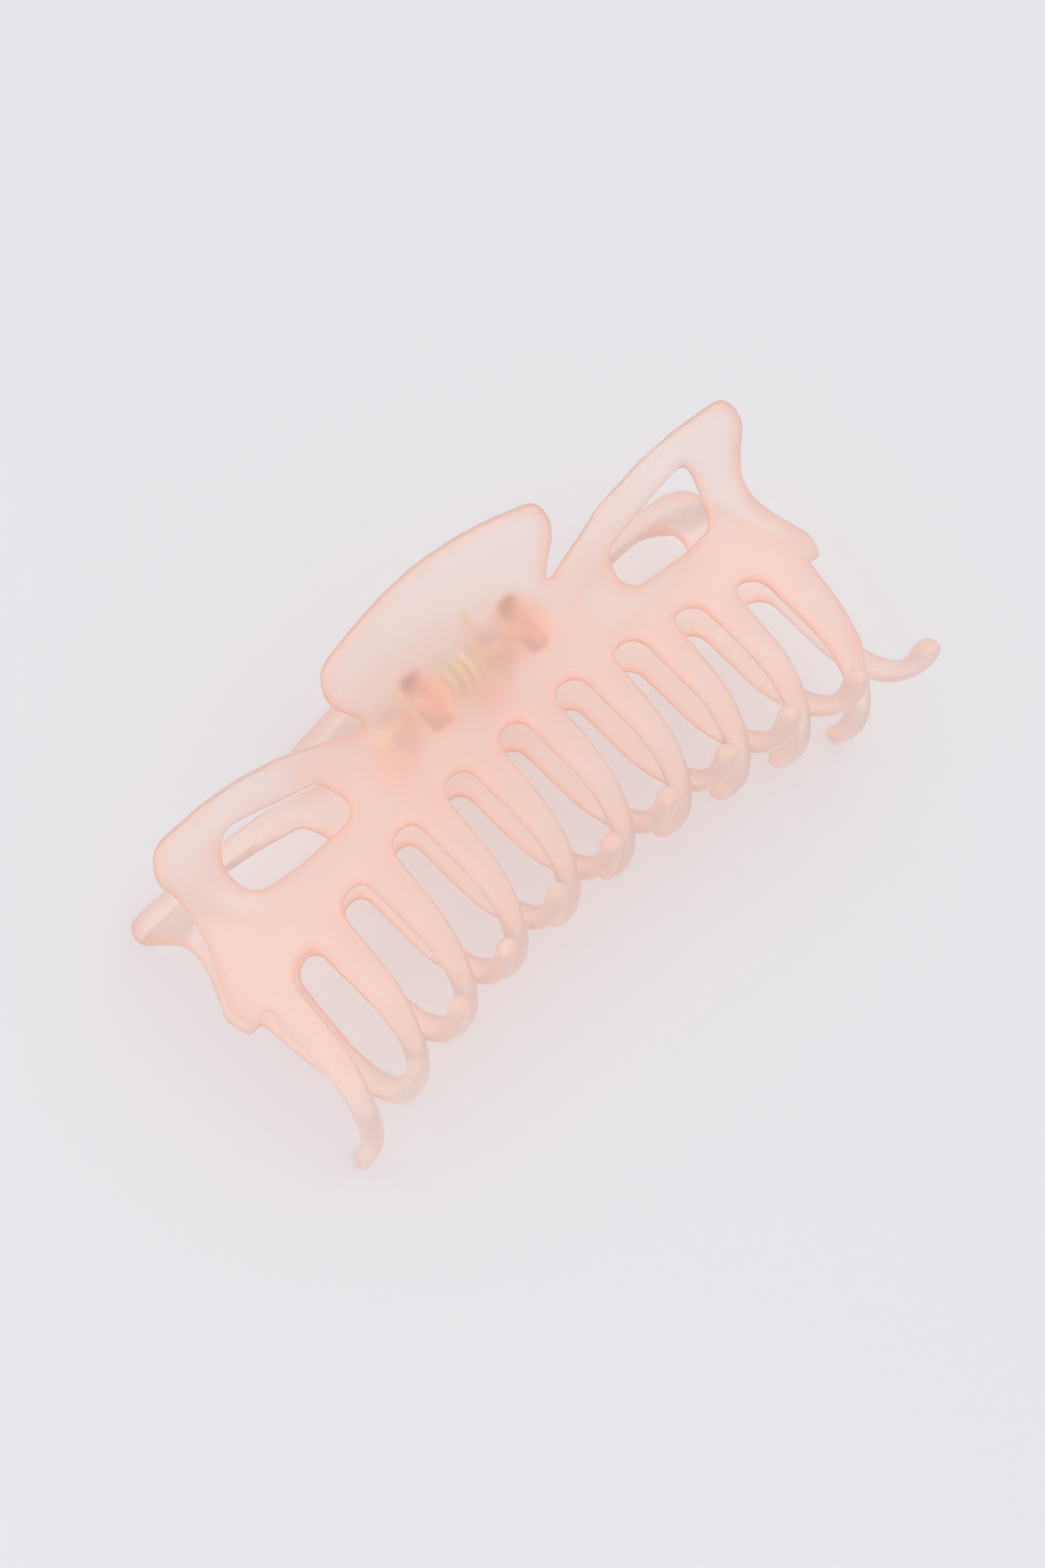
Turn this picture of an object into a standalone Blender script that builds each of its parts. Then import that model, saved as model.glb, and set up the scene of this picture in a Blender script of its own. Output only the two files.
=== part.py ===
"""Claw clip: two moulded jaws with interleaved teeth, on a steel pin with a torsion spring.

The clip frame has its origin on the hinge axis, X along the hinge, Y through the clip from the
upper jaw to the lower one and Z towards the handles. Sizes are in millimetres and MM turns them
into metres. Both jaws come from one mould: a flat slab cut to the pattern of handle, hinge band
and teeth is bent round a profile, its edges are rounded and it gets two hinge lugs. The bend
keeps every tooth side square to the hinge, so the teeth of the two jaws pass each other freely.
"""
import math

import bmesh
import bpy
from mathutils import Matrix, Vector

MM = 0.001

# Teeth
TEETH = 10
PITCH = 10.2
TOOTH_SHIFT = 2.0
TOOTH_ROOT_WIDTH = 5.4
TOOTH_MID_WIDTH = 3.4
TOOTH_TIP_WIDTH = 3.2
TIP_ROUNDING = 1.5
GAP_TOP = 0.6
GAP_ROUNDING = 2.2
END_TOOTH_SHORTER = 2.0

# Jaw profile, seen along the hinge
HINGE_RISE = 11.0
WALL = 2.8
BELLY_OFFSET = 10.0
BELLY_DROP = 8.9
CURL_REACH = 16.3
CURL_DROP = 13.2
CURL_END = math.radians(114.0)
WAIST_OFFSET = 9.6
WAIST_RISE = 8.6
FLARE_RADIUS = 8.9
FLARE_ANGLE = math.radians(55.0)

# Corners of the handle's right half in the flat pattern: across, along, rounding
PADDLE_CROWN = (0.0, 21.7, 110.0)
PADDLE_CORNER = (22.9, 19.3, 2.4)
NOTCH_INNER = (15.6, 12.4, 0.45)
NOTCH_OUTER = (17.0, 12.4, 0.5)
WING_TOP = (36.2, 19.0, 110.0)
WING_TIP = (54.6, 23.2, 2.2)
WING_WAIST = (48.4, 13.9, 8.0)
EAR_TIP = (53.2, 4.7, 1.3)
EAR_FOOT = (51.9, 0.8, 1.3)
EAR_ROOT = (49.4, 0.7, 0.5)
END_BELLY = (48.5, -6.0, 30.0)

# Corners of the half-moon slot in the right wing
SLOT_INNER_TOP = (26.1, 12.0, 1.4)
SLOT_OUTER_TOP = (43.6, 18.0, 2.2)
SLOT_OUTER_FOOT = (41.9, 10.0, 4.5)
SLOT_FOOT = (34.5, 7.6, 14.0)
SLOT_INNER_FOOT = (23.3, 5.8, 2.0)

# Arch of the jaw along the hinge, and the turn of its ends towards the other jaw
ARCH = 0.0032
END_TURN = 0.00064
END_HOOK = 5.8e-7

# Rounding of the moulded edges
EDGE_ROUND = 0.8

# Hinge
PIN_RADIUS = 1.0
PIN_CLEARANCE = 0.3
PIN_HEAD_RADIUS = 1.8
PIN_HEAD_FLAT_RADIUS = 1.3
PIN_HEAD_LENGTH = 0.8
LUG_RADIUS = 3.2
LUG_NOSE_ROUNDING = 3.1
LUG_TOP = (-9.6, 3.0)
LUG_FOOT = (-8.3, -5.2)
LUG_WIDTH = 3.0
INNER_LUG = 6.9
OUTER_LUG = 10.6

# Torsion spring
WIRE_RADIUS = 0.5
COIL_RADIUS = 2.3
COIL_HALF_LENGTH = 4.4
COIL_FULL_TURNS = 2
POINTS_PER_TURN = 10
LEG_END = (-8.8, 5.4)
LEG_POINTS = 4
GAP_SAMPLES = 4

# Fineness of the facets
ARC_SAG = 0.06
WELD = 0.2
PIN_WELD = 0.001
SMOOTH_ANGLE = math.radians(40.0)
PROFILE_STEP = 0.05
CURL_STEPS = 200
CURL_ROWS = 12
TOOTH_MID_ROW = 4
FLARE_ROWS = 6
END_COLUMNS = (46.5, 50.0)
ROUND_SEGMENTS = 16

# Search for the roll at which the clip lies on the ground
ROLL_LEAST = math.radians(70.0)
ROLL_MOST = math.radians(100.0)
ROLL_HALVINGS = 40

# Finishes
FROSTED_PLASTIC = {"colour": (0.83, 0.52, 0.45), "roughness": 0.45, "alpha": 0.75}
DRAWN_STEEL = {"colour": (0.55, 0.53, 0.50), "roughness": 0.3, "metallic": 1.0}


def curl_point(angle):
    """Outer point of the tooth curl, from the belly (0) round to the tooth's lowest line."""
    offset = CURL_REACH * (1.0 - math.cos(angle)) - BELLY_OFFSET
    return offset, -BELLY_DROP - CURL_DROP * math.sin(angle)


CURL_ANGLES = [CURL_END * k / CURL_STEPS for k in range(CURL_STEPS + 1)]
CURL_LENGTHS = [0.0]
for before, after in zip(CURL_ANGLES, CURL_ANGLES[1:]):
    chord = math.dist(curl_point(before), curl_point(after))
    CURL_LENGTHS.append(CURL_LENGTHS[-1] + chord)
CURL_LENGTH = CURL_LENGTHS[-1]
TOOTH_MID_LENGTH = BELLY_DROP + CURL_LENGTH * TOOTH_MID_ROW / CURL_ROWS
TOOTH_LENGTH = BELLY_DROP + CURL_LENGTH


def tooth_profile(length):
    """Depth and height of the outer face at a length down the tooth from the gap tops."""
    if length <= BELLY_DROP:
        return -BELLY_OFFSET, -length
    along = min(length - BELLY_DROP, CURL_LENGTH)
    step = next(k for k, reached in enumerate(CURL_LENGTHS) if k and reached >= along)
    share = (along - CURL_LENGTHS[step - 1]) / (CURL_LENGTHS[step] - CURL_LENGTHS[step - 1])
    return curl_point((step - 1 + share) * CURL_END / CURL_STEPS)


def handle_profile(rise):
    """Depth of the outer face at a height above the gap tops: waist, flare and straight grip."""
    if rise <= WAIST_RISE:
        below = (WAIST_RISE - rise) / WAIST_RISE
        return -WAIST_OFFSET - (BELLY_OFFSET - WAIST_OFFSET) * below ** 2
    flare_rise = FLARE_RADIUS * math.sin(FLARE_ANGLE)
    above = min(rise - WAIST_RISE, flare_rise)
    flare = FLARE_RADIUS - math.sqrt(FLARE_RADIUS ** 2 - above ** 2)
    straight = max(0.0, rise - WAIST_RISE - flare_rise)
    return -WAIST_OFFSET - flare - straight * math.tan(FLARE_ANGLE)


def profile(along):
    """Depth and height of the outer face at a place along the flat pattern."""
    if along >= 0.0:
        return Vector((handle_profile(along), along))
    return Vector(tooth_profile(-along))


def bend(x, along, inset):
    """Place of a point of the flat slab on the jaw, in metres: inset is its depth in the wall."""
    rise = profile(along + PROFILE_STEP) - profile(along - PROFILE_STEP)
    inward = Vector((rise.y, -rise.x)).normalized()
    depth, height = profile(along) + inward * inset
    depth += END_TURN * x ** 2 + END_HOOK * x ** 4
    height -= ARCH * x ** 2 + HINGE_RISE
    return Vector((x, depth, height)) * MM


def round_corners(corners):
    """Closed outline through (x, along, radius) corners, each turned into an arc."""
    outline = []
    for index, (x, along, radius) in enumerate(corners):
        corner = Vector((x, along))
        back = (Vector(corners[index - 1][:2]) - corner).normalized()
        ahead = (Vector(corners[(index + 1) % len(corners)][:2]) - corner).normalized()
        half = back.angle(ahead) / 2
        turn = math.pi - 2 * half
        if radius == 0.0:
            outline.append(corner)
            continue
        centre = corner + (back + ahead).normalized() * radius / math.sin(half)
        first = corner + back * radius / math.tan(half) - centre
        sense = 1.0 if back.cross(ahead) < 0.0 else -1.0
        steps = max(2, math.ceil(turn / (2 * math.acos(1 - ARC_SAG / radius))))
        for step in range(steps + 1):
            outline.append(centre + Matrix.Rotation(sense * turn * step / steps, 2) @ first)
    return outline


def tooth_corners(index):
    """Right side, tip and left side of one tooth, as corners of the outline."""
    x = (index - (TEETH - 1) / 2) * PITCH - TOOTH_SHIFT
    root, middle, tip = (w / 2 for w in (TOOTH_ROOT_WIDTH, TOOTH_MID_WIDTH, TOOTH_TIP_WIDTH))
    right = [(x + root, GAP_TOP, GAP_ROUNDING), (x + middle, -TOOTH_MID_LENGTH, 0.0)]
    left = [(x - middle, -TOOTH_MID_LENGTH, 0.0), (x - root, GAP_TOP, GAP_ROUNDING)]
    length = TOOTH_LENGTH
    if index == TEETH - 1:
        right = [END_BELLY, (x + middle, -TOOTH_MID_LENGTH, 0.0)]
    if index == 0:
        left = left[:1]
        length -= END_TOOTH_SHORTER
    ends = [(x + tip, -length, TIP_ROUNDING), (x - tip, -length, TIP_ROUNDING)]
    return right + ends + left


def jaw_outline():
    """Outline of the flat pattern, clockwise from the crown of the paddle."""
    right = [PADDLE_CORNER, NOTCH_INNER, NOTCH_OUTER, WING_TOP, WING_TIP, WING_WAIST]
    right += [EAR_TIP, EAR_FOOT, EAR_ROOT]
    left = [(-x, along, radius) for x, along, radius in reversed(right)]
    teeth = [corner for index in reversed(range(TEETH)) for corner in tooth_corners(index)]
    return round_corners([PADDLE_CROWN] + right + teeth + left)


def slot_outline(side):
    """Half-moon slot through a wing: side is 1 on the right and -1 on the left."""
    corners = [SLOT_INNER_TOP, SLOT_OUTER_TOP, SLOT_OUTER_FOOT, SLOT_FOOT, SLOT_INNER_FOOT]
    return round_corners([(side * x, along, radius) for x, along, radius in corners])


def pattern_rows():
    """Lines across the pattern where its profile bends."""
    flare_rise = FLARE_RADIUS * math.sin(FLARE_ANGLE)
    rows = [WAIST_RISE + flare_rise * k / FLARE_ROWS for k in range(FLARE_ROWS + 1)]
    rows += [WAIST_RISE / 2, -BELLY_DROP / 3, -BELLY_DROP]
    return rows + [-BELLY_DROP - CURL_LENGTH * k / CURL_ROWS for k in range(1, CURL_ROWS)]


def pattern_columns():
    """Lines along the pattern where it arches: one through each gap, and two near each end."""
    gaps = [(index - TEETH / 2) * PITCH - TOOTH_SHIFT for index in range(1, TEETH)]
    return gaps + [side * x for side in (1, -1) for x in END_COLUMNS]


def flat_pattern():
    """Flat slab of the jaw with chamfered edges, ruled across its bends: z is depth in the wall."""
    mesh = bmesh.new()
    for outline in (jaw_outline(), slot_outline(1), slot_outline(-1)):
        verts = [mesh.verts.new((point.x, point.y, 0.0)) for point in outline]
        for index, vert in enumerate(verts):
            mesh.edges.new((verts[index - 1], vert))
    bmesh.ops.remove_doubles(mesh, verts=mesh.verts, dist=WELD)
    bmesh.ops.triangle_fill(mesh, edges=mesh.edges, use_beauty=True, normal=(0.0, 0.0, 1.0))
    edging = bmesh.ops.inset_region(
        mesh, faces=mesh.faces[:], thickness=EDGE_ROUND, use_boundary=True, use_even_offset=True)
    for face in edging["faces"]:
        face.material_index = 1
    rows, columns = pattern_rows(), pattern_columns()
    lines = [((0.0, row, 0.0), (0.0, 1.0, 0.0)) for row in rows]
    lines += [((column, 0.0, 0.0), (1.0, 0.0, 0.0)) for column in columns]
    for place, across in lines:
        everything = mesh.verts[:] + mesh.edges[:] + mesh.faces[:]
        bmesh.ops.bisect_plane(mesh, geom=everything, dist=WELD, plane_co=place, plane_no=across)
    inside = [edge for edge in mesh.edges if not any(face.material_index for face in edge.link_faces)]
    loose = [edge for edge in inside if not on_a_line(edge, rows, columns)]
    bmesh.ops.dissolve_edges(mesh, edges=loose, use_verts=False)
    spare = [vert for vert in mesh.verts if not vert.is_boundary and len(vert.link_edges) == 2]
    bmesh.ops.dissolve_verts(mesh, verts=spare)
    bmesh.ops.remove_doubles(mesh, verts=mesh.verts, dist=WELD)
    for vert in mesh.verts:
        vert.co.z = EDGE_ROUND if vert.is_boundary else 0.0
    grown = bmesh.ops.extrude_face_region(mesh, geom=mesh.faces[:], use_keep_orig=True)["geom"]
    for item in grown:
        if isinstance(item, bmesh.types.BMVert):
            item.co.z = WALL - item.co.z
    return mesh


def on_a_line(edge, rows, columns):
    """True where both ends of an edge lie on one ruled line."""
    first, second = (vert.co for vert in edge.verts)
    on_row = any(abs(first.y - row) < WELD and abs(second.y - row) < WELD for row in rows)
    on_column = any(abs(first.x - c) < WELD and abs(second.x - c) < WELD for c in columns)
    return on_row or on_column


def make_object(name, data):
    """New object in the scene for a mesh or a curve."""
    made = bpy.data.objects.new(name, data)
    bpy.context.scene.collection.objects.link(made)
    return made


def make_material(name, colour, roughness, metallic=0.0, alpha=1.0):
    """Principled material with a linear base colour."""
    material = bpy.data.materials.new(name)
    material.use_nodes = True
    shader = material.node_tree.nodes["Principled BSDF"]
    shader.inputs["Base Color"].default_value = (*colour, 1.0)
    shader.inputs["Roughness"].default_value = roughness
    shader.inputs["Metallic"].default_value = metallic
    shader.inputs["Alpha"].default_value = alpha
    material.diffuse_color = (*colour, alpha)
    return material


def helper(name, mesh):
    """Object that only shapes another one, from a finished bmesh."""
    data = bpy.data.meshes.new(name)
    bmesh.ops.recalc_face_normals(mesh, faces=mesh.faces)
    mesh.to_mesh(data)
    mesh.free()
    made = make_object(name, data)
    made.hide_render = True
    made.display_type = "WIRE"
    return made


def hinge_lugs():
    """The two lugs of one jaw: plates from the handle's inner face to a round eye."""
    nose = [(LUG_RADIUS, side * LUG_RADIUS, LUG_NOSE_ROUNDING) for side in (1, -1)]
    corners = [(*LUG_TOP, 0.0), *nose, (*LUG_FOOT, 0.0)]
    mesh = bmesh.new()
    for middle in (-INNER_LUG, OUTER_LUG):
        start = (middle - LUG_WIDTH / 2) * MM
        verts = [mesh.verts.new((start, p.x * MM, p.y * MM)) for p in round_corners(corners)]
        face = mesh.faces.new(verts)
        grown = bmesh.ops.extrude_face_region(mesh, geom=[face])["geom"]
        moved = [item for item in grown if isinstance(item, bmesh.types.BMVert)]
        bmesh.ops.translate(mesh, verts=moved, vec=(LUG_WIDTH * MM, 0.0, 0.0))
    return helper("lug_guide", mesh)


def pin_hole():
    """Cutter for the eyes of the lugs."""
    mesh = bmesh.new()
    radius = (PIN_RADIUS + PIN_CLEARANCE) * MM
    depth = 2 * (OUTER_LUG + LUG_WIDTH) * MM
    turn = Matrix.Rotation(math.pi / 2, 4, "Y")
    bmesh.ops.create_cone(
        mesh, cap_ends=True, segments=ROUND_SEGMENTS, radius1=radius, radius2=radius, depth=depth,
        matrix=turn)
    return helper("eye_cutter", mesh)


def jaw_mesh():
    """One moulded jaw in the clip frame, on the upper side of the hinge."""
    slab = flat_pattern()
    for vert in slab.verts:
        vert.co = bend(*vert.co)
    bmesh.ops.recalc_face_normals(slab, faces=slab.faces)
    data = bpy.data.meshes.new("jaw_wall")
    slab.to_mesh(data)
    slab.free()
    shell = make_object("jaw_wall", data)
    lugs, eyes = hinge_lugs(), pin_hole()
    for name, operand, operation in (("lugs", lugs, "UNION"), ("eyes", eyes, "DIFFERENCE")):
        step = shell.modifiers.new(name, "BOOLEAN")
        step.object = operand
        step.operation = operation
        step.solver = "EXACT"
    graph = bpy.context.evaluated_depsgraph_get()
    finished = bpy.data.meshes.new_from_object(shell.evaluated_get(graph))
    finished.name = "jaw"
    for spent in (shell, lugs, eyes):
        bpy.data.objects.remove(spent)
    finished.shade_smooth()
    finished.set_sharp_from_angle(angle=SMOOTH_ANGLE)
    return finished


def pin_mesh():
    """Hinge pin with a riveted head at each end, turned about the hinge axis."""
    mesh = bmesh.new()
    shoulder = OUTER_LUG + LUG_WIDTH / 2 + PIN_CLEARANCE
    end = shoulder + PIN_HEAD_LENGTH
    half = [(end, 0.0), (end, PIN_HEAD_FLAT_RADIUS), (end - PIN_HEAD_LENGTH / 2, PIN_HEAD_RADIUS)]
    half += [(shoulder, PIN_HEAD_RADIUS), (shoulder, PIN_RADIUS)]
    turned = half + [(-x, radius) for x, radius in reversed(half)]
    verts = [mesh.verts.new((x * MM, 0.0, radius * MM)) for x, radius in turned]
    edges = [mesh.edges.new(pair) for pair in zip(verts, verts[1:])]
    bmesh.ops.spin(
        mesh, geom=verts + edges, cent=(0, 0, 0), axis=(1, 0, 0), angle=2 * math.pi,
        steps=ROUND_SEGMENTS, use_merge=True)
    bmesh.ops.remove_doubles(mesh, verts=mesh.verts, dist=PIN_WELD * MM)
    bmesh.ops.recalc_face_normals(mesh, faces=mesh.faces)
    data = bpy.data.meshes.new("hinge_pin")
    mesh.to_mesh(data)
    mesh.free()
    data.shade_smooth()
    data.set_sharp_from_angle(angle=SMOOTH_ANGLE)
    return data


def spring_line():
    """Centre line of the spring: a leg on the lower jaw, the coil and a leg on the upper jaw."""
    reach = math.hypot(*LEG_END)
    leave = math.atan2(*LEG_END) - math.acos(COIL_RADIUS / reach)
    half_turn = leave % (2 * math.pi) + COIL_FULL_TURNS * 2 * math.pi
    steps = round(half_turn / math.pi * POINTS_PER_TURN)
    coil = []
    for step in range(steps + 1):
        share = 2 * step / steps - 1
        around = Vector((math.sin(half_turn * share), math.cos(half_turn * share))) * COIL_RADIUS
        coil.append(Vector((COIL_HALF_LENGTH * share, *around)))
    leg_end = Vector((COIL_HALF_LENGTH, *LEG_END))
    leg = [coil[-1].lerp(leg_end, step / LEG_POINTS) for step in range(1, LEG_POINTS + 1)]
    other_leg = [Vector((-p.x, -p.y, p.z)) for p in reversed(leg)]
    return other_leg + coil + leg


def least_gap(line):
    """Least clear space between parts of the wire more than half a turn apart."""
    shares = [k / GAP_SAMPLES for k in range(GAP_SAMPLES)]
    dense = [a.lerp(b, share) for a, b in zip(line, line[1:]) for share in shares]
    apart = POINTS_PER_TURN * GAP_SAMPLES // 2
    pairs = ((p, q) for i, p in enumerate(dense) for q in dense[i + apart:])
    return min((p - q).length for p, q in pairs) - 2 * WIRE_RADIUS


def spring_curve():
    """The spring as one unbroken tube."""
    line = spring_line()
    print("torsion spring: least gap to itself %.2f mm" % least_gap(line))
    curve = bpy.data.curves.new("torsion_spring", "CURVE")
    curve.dimensions = "3D"
    curve.bevel_depth = WIRE_RADIUS * MM
    curve.bevel_resolution = 1
    curve.use_fill_caps = True
    spline = curve.splines.new("POLY")
    spline.points.add(len(line) - 1)
    for point, place in zip(spline.points, line):
        point.co = (*(place * MM), 1.0)
    return curve


def lowest(mesh, roll, side):
    """Lowest point of a jaw when the clip is rolled over: side is 1 upper jaw, -1 lower jaw."""
    return min(v.co.z * math.cos(roll) - side * v.co.y * math.sin(roll) for v in mesh.vertices)


def resting_roll(mesh):
    """Roll at which the upper jaw's end teeth and the lower jaw's paddle touch the ground together."""
    low, high = ROLL_LEAST, ROLL_MOST
    for _ in range(ROLL_HALVINGS):
        roll = (low + high) / 2
        if lowest(mesh, roll, 1) < lowest(mesh, roll, -1):
            low = roll
        else:
            high = roll
    return roll


def depth_range(mesh, roll):
    """Reach of the rolled clip along the ground, across the hinge."""
    reach = [v.co.z * math.sin(roll) + side * v.co.y * math.cos(roll)
             for v in mesh.vertices for side in (1, -1)]
    return min(reach), max(reach)


def main():
    for old in list(bpy.data.objects):
        bpy.data.objects.remove(old)
    jaw = jaw_mesh()
    roll = resting_roll(jaw)
    hinge = make_object("hinge_axis", None)
    near, far = depth_range(jaw, roll)
    hinge.location = (0.0, -(near + far) / 2, -lowest(jaw, roll, 1))
    hinge.rotation_euler = (-roll, 0.0, 0.0)
    print("roll %.2f degrees, hinge at %s" % (math.degrees(roll), tuple(hinge.location)))
    pieces = [
        ("upper_jaw", jaw, "upper_jaw_frosted_plastic", FROSTED_PLASTIC),
        ("lower_jaw", jaw.copy(), "lower_jaw_frosted_plastic", FROSTED_PLASTIC),
        ("hinge_pin", pin_mesh(), "hinge_pin_steel", DRAWN_STEEL),
        ("torsion_spring", spring_curve(), "torsion_spring_steel", DRAWN_STEEL),
    ]
    for name, data, finish, values in pieces:
        piece = make_object(name, data)
        piece.parent = hinge
        data.materials.clear()
        data.materials.append(make_material(finish, **values))
    bpy.data.objects["lower_jaw"].rotation_euler = (0.0, 0.0, math.pi)


main()
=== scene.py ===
"""Looks of the claw clip: frosted moulded jaws, steel pin and spring, on a pale studio floor."""

import math

import bmesh
import bpy
import numpy as np
from mathutils import Matrix, Quaternion, Vector
from mathutils.bvhtree import BVHTree


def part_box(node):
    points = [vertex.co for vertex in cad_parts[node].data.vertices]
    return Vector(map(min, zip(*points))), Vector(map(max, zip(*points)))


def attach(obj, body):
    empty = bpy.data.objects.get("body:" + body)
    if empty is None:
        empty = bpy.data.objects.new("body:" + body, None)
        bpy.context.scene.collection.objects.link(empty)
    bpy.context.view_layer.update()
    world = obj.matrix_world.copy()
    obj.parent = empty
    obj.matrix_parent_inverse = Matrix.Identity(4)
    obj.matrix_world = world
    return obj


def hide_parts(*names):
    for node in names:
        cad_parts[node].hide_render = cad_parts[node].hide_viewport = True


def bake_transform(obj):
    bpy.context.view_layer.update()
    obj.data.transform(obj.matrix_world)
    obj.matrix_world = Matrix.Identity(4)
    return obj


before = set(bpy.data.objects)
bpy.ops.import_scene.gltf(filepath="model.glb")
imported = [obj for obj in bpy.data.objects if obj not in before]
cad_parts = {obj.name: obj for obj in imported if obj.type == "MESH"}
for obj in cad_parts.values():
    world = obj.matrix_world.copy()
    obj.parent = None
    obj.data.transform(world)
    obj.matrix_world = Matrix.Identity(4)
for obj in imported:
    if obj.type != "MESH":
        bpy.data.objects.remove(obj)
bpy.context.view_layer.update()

bl_info = {
    "name": "Claw clip looks",
    "version": (1, 0, 0),
    "blender": (4, 5, 0),
    "location": "View3D > Sidebar > Claw clip",
    "description": "Dresses the claw clip in frosted plastic and drawn steel on a studio floor",
    "category": "Object",
}

MM = 0.001
DEPTH_ATTRIBUTE = "plastic_depth"

# Fineness of the meshes
MERGE_WITHIN = 0.01 * MM
RAY_START = 0.05 * MM
SMOOTHING = 0.5
PIN_SIDES = 48
EDGE_SEGMENTS = 4
WIRE_SEGMENTS = 4
COIL_POINTS = 36  # in each half turn
LEG_POINTS = 6
SMOOTH_BELOW = math.radians(40.0)
END_NORMAL = 0.5  # a face of the pin with more of its normal along the pin is an end face

# Finish of the plastic
FLOW_SIZE = 14 * MM
GRAIN_SIZE = 0.3 * MM  # real grain is finer; drawn coarser so that it shows
GRAIN_DETAIL = 3.0
GRAIN_STRENGTH = 0.1
GRAIN_HEIGHT = 0.02 * MM
FROST_ROUGHNESS = (0.75, 0.85)
FROST_IOR = 1.15  # solid polycarbonate has 1.58, which turns thin rims dark
MILK_ROUGHNESS = 0.6
MILK_GLOSS = 0.2
MILK_REACH = (1.0, 0.6, 0.5)

# Finish of the steel and the floor
LINE_SIZE = 0.2 * MM  # real die lines are finer; drawn coarser so that they show
STEEL_METALLIC = 0.6
STEEL_ROUGHNESS = (0.4, 0.55)
FLOOR_ROUGHNESS = 0.9
FLOOR_GLOSS = 0.1


def srgb(code):
    """Linear RGB of an sRGB hex code."""
    shares = [int(code[start:start + 2], 16) / 255 for start in (1, 3, 5)]
    return [s / 12.92 if s <= 0.04045 else ((s + 0.055) / 1.055) ** 2.4 for s in shares]


def size(name, description, millimetres):
    """Length property with its default in millimetres."""
    return bpy.props.FloatProperty(
        name=name, description=description, default=millimetres * MM, unit="LENGTH", precision=5)


def colour(name, description, code):
    """Colour property with its default as an sRGB hex code."""
    return bpy.props.FloatVectorProperty(
        name=name, description=description, default=srgb(code), subtype="COLOR", min=0.0, max=1.0)


def angle(name, description, degrees):
    """Angle property with its default in degrees."""
    return bpy.props.FloatProperty(
        name=name, description=description, default=math.radians(degrees), unit="ROTATION")


class ClawClipJawLooks(bpy.types.PropertyGroup):
    """Sizes and colours of the two moulded jaws"""

    grain: size("Surface step", "Spacing of the fine mesh over a jaw", 0.38)
    edge_passes: bpy.props.IntProperty(
        name="Edge passes", description="Smoothing passes that round the moulded edges", default=10)
    clear: colour("Clear plastic", "Tint of the light that goes through a wall", "#FFFDFC")
    stain: colour("Stain", "Tint of the blurred light that goes through deep plastic", "#FFE8E0")
    milk: colour("Milk", "Colour of the light scattered in the plastic", "#FFE2DB")
    milk_cloud: colour("Milk cloud", "Second colour in the cloudy flow of the plastic", "#FFDCD3")
    deepest: size("Deepest", "Greatest depth of plastic that is told apart", 9.0)
    depth_passes: bpy.props.IntProperty(
        name="Depth passes", description="Passes that spread the depth of plastic along the wall",
        default=30)
    milk_deep: colour("Deep milk", "Colour of light scattered where the plastic is deep", "#FFCCBD")
    milk_share: bpy.props.FloatProperty(
        name="Milk share", description="Share of the light that each surface scatters",
        default=0.15, min=0.0, max=1.0, subtype="FACTOR")
    milk_most: bpy.props.FloatProperty(
        name="Most milk", description="Share of the light scattered over deep plastic",
        default=0.6, min=0.0, max=1.0, subtype="FACTOR")
    teeth_milk: bpy.props.FloatProperty(
        name="Milk of the teeth", description="Factor of the milk share at the teeth", default=2.1)
    handle_milk: bpy.props.FloatProperty(
        name="Milk of the handles", description="Factor of the milk share at the handles",
        default=0.85)
    teeth_end: size("Teeth end", "Place of the teeth across the clip", -20.0)
    handle_end: size("Handle end", "Place of the handles across the clip", 18.0)
    slant_milk: bpy.props.FloatProperty(
        name="Slant milk", description="Milk share of a wall seen edge on", default=0.8,
        min=0.0, max=1.0, subtype="FACTOR")
    slant_power: bpy.props.FloatProperty(
        name="Slant power", description="How closely the edge-on milk keeps to the rims",
        default=2.0)
    thin: size("Thin", "Depth of plastic up to which the milk share is the least", 3.0)
    thick: size("Thick", "Depth of plastic from which the milk share is the most", 5.4)
    blur_share: bpy.props.FloatProperty(
        name="Blur share", description="Share of the light going through that the grain blurs",
        default=0.6, min=0.0, max=1.0, subtype="FACTOR")
    milk_depth: size("Milk depth", "Distance that light wanders in the plastic", 2.0)
    cast: colour("Cast", "Tint of the light that a surface lets through to the floor", "#FFFAF1")


class ClawClipSteelLooks(bpy.types.PropertyGroup):
    """Sizes and colours of the hinge pin and the torsion spring"""

    shank: size("Shank", "Diameter of the pin between its heads", 2.0)
    head_length: size("Head length", "Length of each riveted head of the pin", 0.8)
    head_edge: size("Head edge", "Rounding of the riveted heads", 0.45)
    wire: size("Wire", "Diameter of the spring wire", 1.0)
    coil: size("Coil", "Diameter of the coil, at the middle of the wire", 4.6)
    coil_length: size("Coil length", "Length of the coil, at the middle of the wire", 8.8)
    coil_turns: bpy.props.IntProperty(
        name="Full turns", description="Full turns in each half of the coil", default=2)
    leg_out: size("Leg out", "Reach of each leg from the hinge towards its jaw", 8.8)
    leg_up: size("Leg up", "Reach of each leg from the hinge towards the handles", 5.4)
    roll: angle("Roll", "Turn of the clip about its hinge, as it lies on the floor", 84.94)
    steel: colour("Steel", "Colour of the drawn steel", "#F5E6C8")


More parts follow.
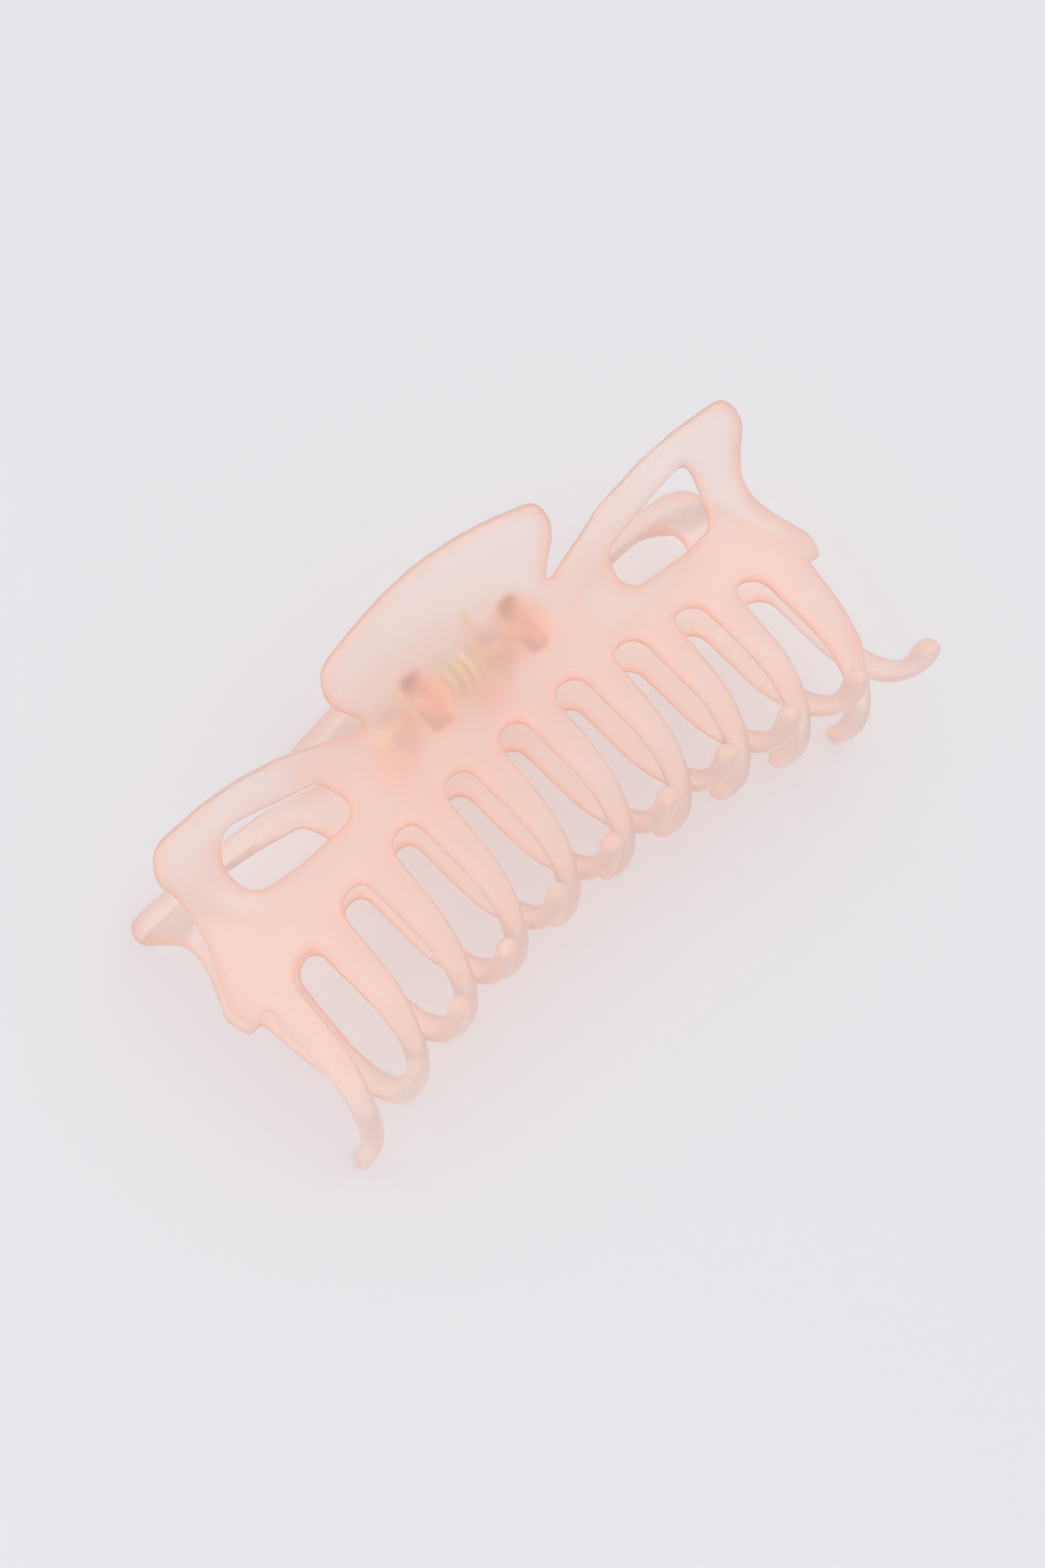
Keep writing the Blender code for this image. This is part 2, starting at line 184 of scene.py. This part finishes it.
class ClawClipStageLooks(bpy.types.PropertyGroup):
    """Floor, light and camera"""

    floor: colour("Floor", "Colour of the matt floor", "#E5E5E9")
    floor_side: size("Floor side", "Side of the square floor", 20000.0)
    aim: bpy.props.FloatVectorProperty(
        name="Aim", description="Point in the middle of the picture", unit="LENGTH", precision=5,
        default=(-0.71 * MM, -1.43 * MM, 14.38 * MM))
    distance: size("Distance", "From the camera to the aim", 465.5)
    azimuth: angle("Azimuth", "Direction of the camera round the clip, from +X", -150.852)
    elevation: angle("Elevation", "Height of the camera above the horizon", 64.772)
    image_roll: angle("Image roll", "Turn of the camera about its own axis", 18.797)
    lens: bpy.props.FloatProperty(
        name="Lens", description="Focal length in millimetres", default=80.554, unit="CAMERA")
    film: bpy.props.FloatProperty(
        name="Film", description="Long side of the film in millimetres", default=36.0,
        unit="CAMERA")
    sky: bpy.props.FloatProperty(
        name="Sky", description="Strength of the even white light all round", default=0.86)
    softbox_place: bpy.props.FloatVectorProperty(
        name="Softbox place", description="Middle of the softbox, which faces the clip",
        unit="LENGTH", default=(-0.6, -0.05, 1.0))
    softbox_side: size("Softbox side", "Side of the square softbox", 1000.0)
    softbox_power: bpy.props.FloatProperty(
        name="Softbox power", description="Power of the softbox in watts", default=3.2,
        unit="POWER")


def add_node(material, kind, settings=None, inputs=None):
    """Node of a kind with its settings; an input takes a value or the socket that feeds it."""
    node = material.node_tree.nodes.new(kind)
    for name, value in (settings or {}).items():
        setattr(node, name, value)
    for name, value in (inputs or {}).items():
        if isinstance(value, bpy.types.NodeSocket):
            material.node_tree.links.new(value, node.inputs[name])
        else:
            node.inputs[name].default_value = value
    return node


def new_material(name):
    """Empty material with its output node."""
    material = bpy.data.materials.new(name)
    material.use_nodes = True
    material.node_tree.nodes.clear()
    return material, add_node(material, "ShaderNodeOutputMaterial")


def rgba(value):
    """Colour property as the four numbers of a colour socket."""
    return (*value, 1.0)


def frosted_polycarbonate(looks):
    """Tinted polycarbonate from a blasted mould."""
    # Milky and matt: the blasted mould leaves a grain that blurs what lies behind a wall. Walls
    # that overlap and thick places turn salmon, and flow in the mould clouds the milk a little.
    material, out = new_material("frosted_polycarbonate_moulded")
    place = add_node(material, "ShaderNodeTexCoord").outputs["Object"]
    flow = add_node(material, "ShaderNodeTexNoise", inputs={
        "Vector": place, "Scale": 1 / FLOW_SIZE})
    tint = add_node(material, "ShaderNodeMix", {"data_type": "RGBA"}, {
        0: flow.outputs["Fac"], 6: rgba(looks.milk), 7: rgba(looks.milk_cloud)})
    depth = add_node(material, "ShaderNodeAttribute", {"attribute_name": DEPTH_ATTRIBUTE})
    deep = add_node(material, "ShaderNodeMapRange", inputs={
        "Value": depth.outputs["Fac"], "From Min": looks.thin, "From Max": looks.thick})
    share = add_node(material, "ShaderNodeMapRange", inputs={
        "Value": deep.outputs["Result"], "To Min": looks.milk_share, "To Max": looks.milk_most})
    across = add_node(material, "ShaderNodeSeparateXYZ", inputs={0: place})
    along = add_node(material, "ShaderNodeMapRange", inputs={
        "Value": across.outputs["Y"], "From Min": looks.teeth_end, "From Max": looks.handle_end,
        "To Min": looks.teeth_milk, "To Max": looks.handle_milk})
    milky = add_node(material, "ShaderNodeMath", {"operation": "MULTIPLY"}, {
        0: share.outputs["Result"], 1: along.outputs["Result"]})
    # As in glass, a wall seen edge on lets less light through, and shows more of its milk
    facing = add_node(material, "ShaderNodeLayerWeight")
    slant = add_node(material, "ShaderNodeMath", {"operation": "POWER"}, {
        0: facing.outputs["Facing"], 1: looks.slant_power})
    filled = add_node(material, "ShaderNodeMapRange", inputs={
        "Value": slant.outputs["Value"],
        "To Min": milky.outputs["Value"], "To Max": looks.slant_milk})
    body = add_node(material, "ShaderNodeMix", {"data_type": "RGBA"}, {
        0: deep.outputs["Result"], 6: tint.outputs[2], 7: rgba(looks.milk_deep)})
    stain = add_node(material, "ShaderNodeMix", {"data_type": "RGBA"}, {
        0: deep.outputs["Result"], 6: rgba(looks.clear), 7: rgba(looks.stain)})
    blast = add_node(material, "ShaderNodeTexNoise", inputs={
        "Vector": place, "Scale": 1 / GRAIN_SIZE, "Detail": GRAIN_DETAIL})
    bump = add_node(material, "ShaderNodeBump", inputs={
        "Height": blast.outputs["Fac"], "Strength": GRAIN_STRENGTH, "Distance": GRAIN_HEIGHT})
    rough = add_node(material, "ShaderNodeMapRange", inputs={
        "Value": blast.outputs["Fac"],
        "To Min": FROST_ROUGHNESS[0], "To Max": FROST_ROUGHNESS[1]})
    straight = add_node(material, "ShaderNodeBsdfTransparent", inputs={
        "Color": rgba(looks.clear)})
    blurred = add_node(material, "ShaderNodeBsdfGlass", {"distribution": "MULTI_GGX"}, {
        "Color": stain.outputs[2], "Roughness": rough.outputs["Result"], "IOR": FROST_IOR,
        "Normal": bump.outputs["Normal"]})
    clear = add_node(material, "ShaderNodeMixShader", inputs={
        0: looks.blur_share, 1: straight.outputs["BSDF"], 2: blurred.outputs["BSDF"]})
    milk = add_node(material, "ShaderNodeBsdfPrincipled", inputs={
        "Base Color": body.outputs[2], "Roughness": MILK_ROUGHNESS,
        "Specular IOR Level": MILK_GLOSS, "Subsurface Weight": 1.0, "Subsurface Radius": MILK_REACH,
        "Subsurface Scale": looks.milk_depth, "Normal": bump.outputs["Normal"]})
    wall = add_node(material, "ShaderNodeMixShader", inputs={
        0: filled.outputs["Result"], 1: clear.outputs["Shader"], 2: milk.outputs["BSDF"]})
    # Light on its way to the floor passes with a tint, so that the shadow stays pale and warm
    path = add_node(material, "ShaderNodeLightPath")
    cast = add_node(material, "ShaderNodeBsdfTransparent", inputs={"Color": rgba(looks.cast)})
    surface = add_node(material, "ShaderNodeMixShader", inputs={
        0: path.outputs["Is Shadow Ray"], 1: wall.outputs["Shader"], 2: cast.outputs["BSDF"]})
    material.node_tree.links.new(surface.outputs["Shader"], out.inputs["Surface"])
    return material


def drawn_steel(looks, name):
    """Drawn steel, plated pale yellow."""
    # Pale yellow and half matt: the plating dulls the shine, and drawing leaves it uneven.
    material, out = new_material(name)
    place = add_node(material, "ShaderNodeTexCoord").outputs["Object"]
    lines = add_node(material, "ShaderNodeTexNoise", inputs={
        "Vector": place, "Scale": 1 / LINE_SIZE})
    rough = add_node(material, "ShaderNodeMapRange", inputs={
        "Value": lines.outputs["Fac"],
        "To Min": STEEL_ROUGHNESS[0], "To Max": STEEL_ROUGHNESS[1]})
    shader = add_node(material, "ShaderNodeBsdfPrincipled", inputs={
        "Base Color": rgba(looks.steel), "Metallic": STEEL_METALLIC,
        "Roughness": rough.outputs["Result"]})
    material.node_tree.links.new(shader.outputs["BSDF"], out.inputs["Surface"])
    return material


def matt_floor(looks):
    """Matt painted board."""
    # Even and pale with hardly any shine, so that only the clip's soft shadow shows on it.
    material, out = new_material("matt_painted_board")
    shader = add_node(material, "ShaderNodeBsdfPrincipled", inputs={
        "Base Color": rgba(looks.floor), "Roughness": FLOOR_ROUGHNESS,
        "Specular IOR Level": FLOOR_GLOSS})
    material.node_tree.links.new(shader.outputs["BSDF"], out.inputs["Surface"])
    return material


def work_on(piece):
    """Deselect everything and make one piece active."""
    bpy.ops.object.select_all(action="DESELECT")
    piece.select_set(True)
    bpy.context.view_layer.objects.active = piece


def apply_modifier(piece, kind, **settings):
    """Add a modifier to the active piece and apply it."""
    work_on(piece)
    bpy.ops.object.modifier_add(type=kind)
    modifier = piece.modifiers[-1]
    for name, value in settings.items():
        setattr(modifier, name, value)
    bpy.ops.object.modifier_apply(modifier=modifier.name)


def store_depth(piece, most, passes):
    """Keep on each vertex how far the plastic goes on below it, up to a most, spread by passes."""
    mesh = bmesh.new()
    mesh.from_mesh(piece.data)
    tree = BVHTree.FromBMesh(mesh)
    depths = []
    for vert in mesh.verts:
        start = vert.co - vert.normal * RAY_START
        *_, distance = tree.ray_cast(start, -vert.normal, most)
        depths.append(most if distance is None else distance)
    ends = np.array([[vert.index for vert in edge.verts] for edge in mesh.edges])
    mesh.free()
    depths = np.array(depths)
    shared = np.bincount(ends.ravel(), minlength=len(depths))
    for _ in range(passes):
        around = np.bincount(ends[:, 0], depths[ends[:, 1]], len(depths))
        around += np.bincount(ends[:, 1], depths[ends[:, 0]], len(depths))
        depths = (depths + around) / (1 + shared)
    attribute = piece.data.attributes.new(DEPTH_ATTRIBUTE, "FLOAT", "POINT")
    attribute.data.foreach_set("value", depths)


def select_faces(piece, wanted):
    """In edit mode, select the faces that a test wants and no others."""
    bpy.ops.mesh.select_all(action="DESELECT")
    bpy.ops.mesh.select_mode(type="FACE")
    bpy.ops.object.mode_set(mode="OBJECT")
    for face in piece.data.polygons:
        face.select = wanted(face)
    bpy.ops.object.mode_set(mode="EDIT")


def wire_line(looks):
    """Middle of the spring wire: a leg on the lower jaw, the coil and a leg on the upper jaw."""
    radius, half = looks.coil / 2, looks.coil_length / 2
    reach = math.hypot(looks.leg_out, looks.leg_up)
    leave = math.atan2(-looks.leg_out, looks.leg_up) - math.acos(radius / reach)
    half_turn = leave % (2 * math.pi) + looks.coil_turns * 2 * math.pi
    steps = round(half_turn / math.pi * COIL_POINTS)
    coil = []
    for step in range(steps + 1):
        share = 2 * step / steps - 1
        around = half_turn * share
        coil.append(Vector((half * share, radius * math.sin(around), radius * math.cos(around))))
    end = Vector((half, -looks.leg_out, looks.leg_up))
    leg = [coil[-1].lerp(end, (step + 1) / LEG_POINTS) for step in range(LEG_POINTS)]
    other_leg = [Vector((-point.x, -point.y, point.z)) for point in reversed(leg)]
    return other_leg + coil + leg


class CLAWCLIP_OT_stage(bpy.types.Operator):
    """Floor, studio light and camera"""

    bl_idname = "clawclip.stage"
    bl_label = "Stage"

    def execute(self, context):
        looks = context.scene.claw_clip_stage
        bpy.ops.object.select_all(action="DESELECT")
        bpy.ops.mesh.primitive_plane_add(size=looks.floor_side, location=(0.0, 0.0, 0.0))
        floor = context.active_object
        floor.name = "floor"
        floor.data.materials.append(matt_floor(looks))
        world = bpy.data.worlds.new("studio")
        world.use_nodes = True
        background = world.node_tree.nodes["Background"]
        background.inputs["Color"].default_value = (1.0, 1.0, 1.0, 1.0)
        background.inputs["Strength"].default_value = looks.sky
        context.scene.world = world
        bpy.ops.object.light_add(type="AREA", location=looks.softbox_place)
        key = context.active_object
        key.name = "softbox"
        key.data.shape = "SQUARE"
        key.data.size = looks.softbox_side
        key.data.energy = looks.softbox_power
        key.rotation_euler = (-key.location).to_track_quat("-Z", "Y").to_euler()
        bpy.ops.object.camera_add()
        view = context.active_object
        view.name = "photo_camera"
        view.data.sensor_width = looks.film
        view.data.lens = looks.lens
        level = math.cos(looks.elevation)
        back = Vector((
            level * math.cos(looks.azimuth),
            level * math.sin(looks.azimuth),
            math.sin(looks.elevation)))
        turn = (-back).to_track_quat("-Z", "Y") @ Quaternion((0.0, 0.0, 1.0), looks.image_roll)
        view.location = Vector(looks.aim) + back * looks.distance
        view.rotation_euler = turn.to_euler()
        context.scene.camera = view
        context.scene.view_settings.view_transform = "Standard"
        return {"FINISHED"}


class CLAWCLIP_OT_jaws(bpy.types.Operator):
    """Fine frosted mouldings over the two jaws"""

    bl_idname = "clawclip.jaws"
    bl_label = "Jaws"

    def execute(self, context):
        looks = context.scene.claw_clip_jaws
        plastic = frosted_polycarbonate(looks)
        for node, body in (("upper_jaw", "upper_half"), ("lower_jaw", "lower_half")):
            piece = bpy.data.objects.new(node + "_moulding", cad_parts[node].data.copy())
            context.scene.collection.objects.link(piece)
            work_on(piece)
            bpy.ops.object.mode_set(mode="EDIT")
            bpy.ops.mesh.select_all(action="SELECT")
            bpy.ops.mesh.customdata_custom_splitnormals_clear()
            bpy.ops.mesh.remove_doubles(threshold=MERGE_WITHIN)
            bpy.ops.object.mode_set(mode="OBJECT")
            apply_modifier(piece, "REMESH", mode="VOXEL", voxel_size=looks.grain)
            apply_modifier(piece, "SMOOTH", factor=SMOOTHING, iterations=looks.edge_passes)
            bpy.ops.object.shade_smooth()
            store_depth(piece, looks.deepest, looks.depth_passes)
            piece.data.materials.clear()
            piece.data.materials.append(plastic)
            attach(piece, body)
            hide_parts(node)
        return {"FINISHED"}


class CLAWCLIP_OT_pin(bpy.types.Operator):
    """Turned hinge pin with two riveted heads"""

    bl_idname = "clawclip.pin"
    bl_label = "Hinge pin"

    def execute(self, context):
        looks = context.scene.claw_clip_steel
        low, high = (Vector(corner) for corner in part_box("hinge_pin"))
        middle = (low + high) / 2
        rim = (high.z - low.z) / 2
        end = high.x - middle.x
        bpy.ops.object.select_all(action="DESELECT")
        bpy.ops.mesh.primitive_cylinder_add(
            vertices=PIN_SIDES, radius=looks.shank / 2, depth=2 * end, location=middle,
            rotation=(0.0, math.pi / 2, 0.0))
        piece = context.active_object
        piece.name = "turned_hinge_pin"
        bpy.ops.object.transform_apply(location=True, rotation=True, scale=True)
        bpy.ops.object.mode_set(mode="EDIT")
        for side in (1, -1):
            bpy.ops.mesh.select_all(action="SELECT")
            bpy.ops.mesh.bisect(
                plane_co=middle + Vector((side * (end - looks.head_length), 0.0, 0.0)),
                plane_no=(1.0, 0.0, 0.0))
        select_faces(piece, lambda face: abs(face.normal.x) < END_NORMAL
                     and abs(face.center.x - middle.x) > end - looks.head_length)
        bpy.ops.mesh.extrude_region_shrink_fatten(
            TRANSFORM_OT_shrink_fatten={"value": rim - looks.shank / 2})
        select_faces(piece, lambda face: abs(face.normal.x) > END_NORMAL
                     and abs(face.center.x - middle.x) > end - looks.head_length / 2)
        bpy.ops.mesh.region_to_loop()
        bpy.ops.mesh.bevel(offset=looks.head_edge, segments=EDGE_SEGMENTS, affect="EDGES")
        bpy.ops.object.mode_set(mode="OBJECT")
        bpy.ops.object.shade_smooth_by_angle(angle=SMOOTH_BELOW)
        piece.data.materials.append(drawn_steel(looks, "turned_steel_pin"))
        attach(piece, "lower_half")
        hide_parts("hinge_pin")
        return {"FINISHED"}


class CLAWCLIP_OT_spring(bpy.types.Operator):
    """Torsion spring: a leg on each jaw and the coil round the pin, as one drawn wire"""

    bl_idname = "clawclip.spring"
    bl_label = "Torsion spring"

    def execute(self, context):
        looks = context.scene.claw_clip_steel
        low, high = (Vector(corner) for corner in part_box("hinge_pin"))
        hinge = (low + high) / 2
        turn = Matrix.Rotation(-looks.roll, 3, "X")
        line = [hinge + turn @ point for point in wire_line(looks)]
        bpy.ops.object.select_all(action="DESELECT")
        bpy.ops.curve.primitive_nurbs_path_add()
        piece = context.active_object
        piece.name = "drawn_torsion_spring"
        piece.data.splines.clear()
        spline = piece.data.splines.new("POLY")
        spline.points.add(len(line) - 1)
        for point, place in zip(spline.points, line):
            point.co = (*place, 1.0)
        piece.data.bevel_depth = looks.wire / 2
        piece.data.bevel_resolution = WIRE_SEGMENTS
        piece.data.use_fill_caps = True
        bpy.ops.object.convert(target="MESH")
        bpy.ops.object.shade_smooth_by_angle(angle=SMOOTH_BELOW)
        piece.data.materials.append(drawn_steel(looks, "drawn_steel_wire"))
        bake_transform(piece)
        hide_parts("torsion_spring")
        return {"FINISHED"}


class CLAWCLIP_PT_looks(bpy.types.Panel):
    """Operators and values of the claw clip's looks"""

    bl_idname = "CLAWCLIP_PT_looks"
    bl_label = "Claw clip"
    bl_space_type = "VIEW_3D"
    bl_region_type = "UI"
    bl_category = "Claw clip"

    def draw(self, context):
        for operator in OPERATORS:
            self.layout.operator(operator.bl_idname)
        for name in PROPERTIES:
            group = getattr(context.scene, name)
            for key in group.__annotations__:
                self.layout.prop(group, key)


OPERATORS = (CLAWCLIP_OT_stage, CLAWCLIP_OT_jaws, CLAWCLIP_OT_pin, CLAWCLIP_OT_spring)
PROPERTIES = {
    "claw_clip_jaws": ClawClipJawLooks,
    "claw_clip_steel": ClawClipSteelLooks,
    "claw_clip_stage": ClawClipStageLooks,
}


def register():
    """Register the properties, operators and panel."""
    for name, group in PROPERTIES.items():
        bpy.utils.register_class(group)
        setattr(bpy.types.Scene, name, bpy.props.PointerProperty(type=group))
    for kind in (*OPERATORS, CLAWCLIP_PT_looks):
        bpy.utils.register_class(kind)


def unregister():
    """Take back what register added."""
    for kind in (CLAWCLIP_PT_looks, *reversed(OPERATORS)):
        bpy.utils.unregister_class(kind)
    for name, group in PROPERTIES.items():
        delattr(bpy.types.Scene, name)
        bpy.utils.unregister_class(group)


def main():
    """Dress the clip: stage, jaws, pin and spring."""
    register()
    bpy.ops.clawclip.stage()
    bpy.ops.clawclip.jaws()
    bpy.ops.clawclip.pin()
    bpy.ops.clawclip.spring()


if __name__ == "__main__":
    main()
